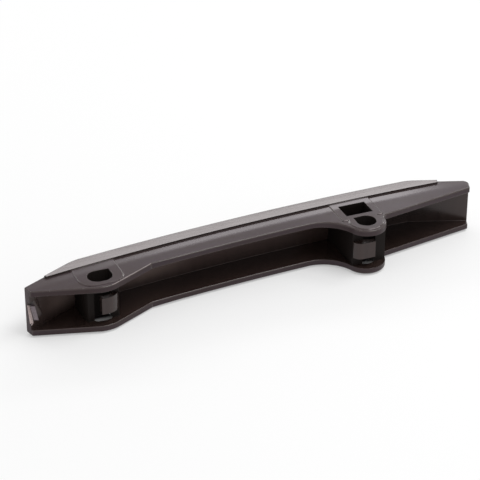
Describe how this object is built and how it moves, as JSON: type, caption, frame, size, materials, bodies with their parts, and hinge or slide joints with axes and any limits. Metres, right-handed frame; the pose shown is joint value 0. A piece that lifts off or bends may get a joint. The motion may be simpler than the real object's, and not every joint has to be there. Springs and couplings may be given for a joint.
{
  "type": "timing chain guide",
  "caption": "Arched plastic rail that a roller timing chain slides along, with a channel-shaped body, lead-in ramps at its ends, a round pin hole and a slotted pin hole.",
  "frame": {"origin": "middle of the rail's length and depth, at the lower edge of the running face", "axes": "+X along the line of the two pin holes towards the round hole, +Y towards the running face, +Z across the rail along the pins"},
  "size_m": [0.1965, 0.0321, 0.0214],
  "materials": {
    "guide_plastic": "satin moulded polyamide, very dark brown"
  },
  "bodies": {
    "root": {"guide_rail": "guide_plastic"}
  },
  "joints": []
}
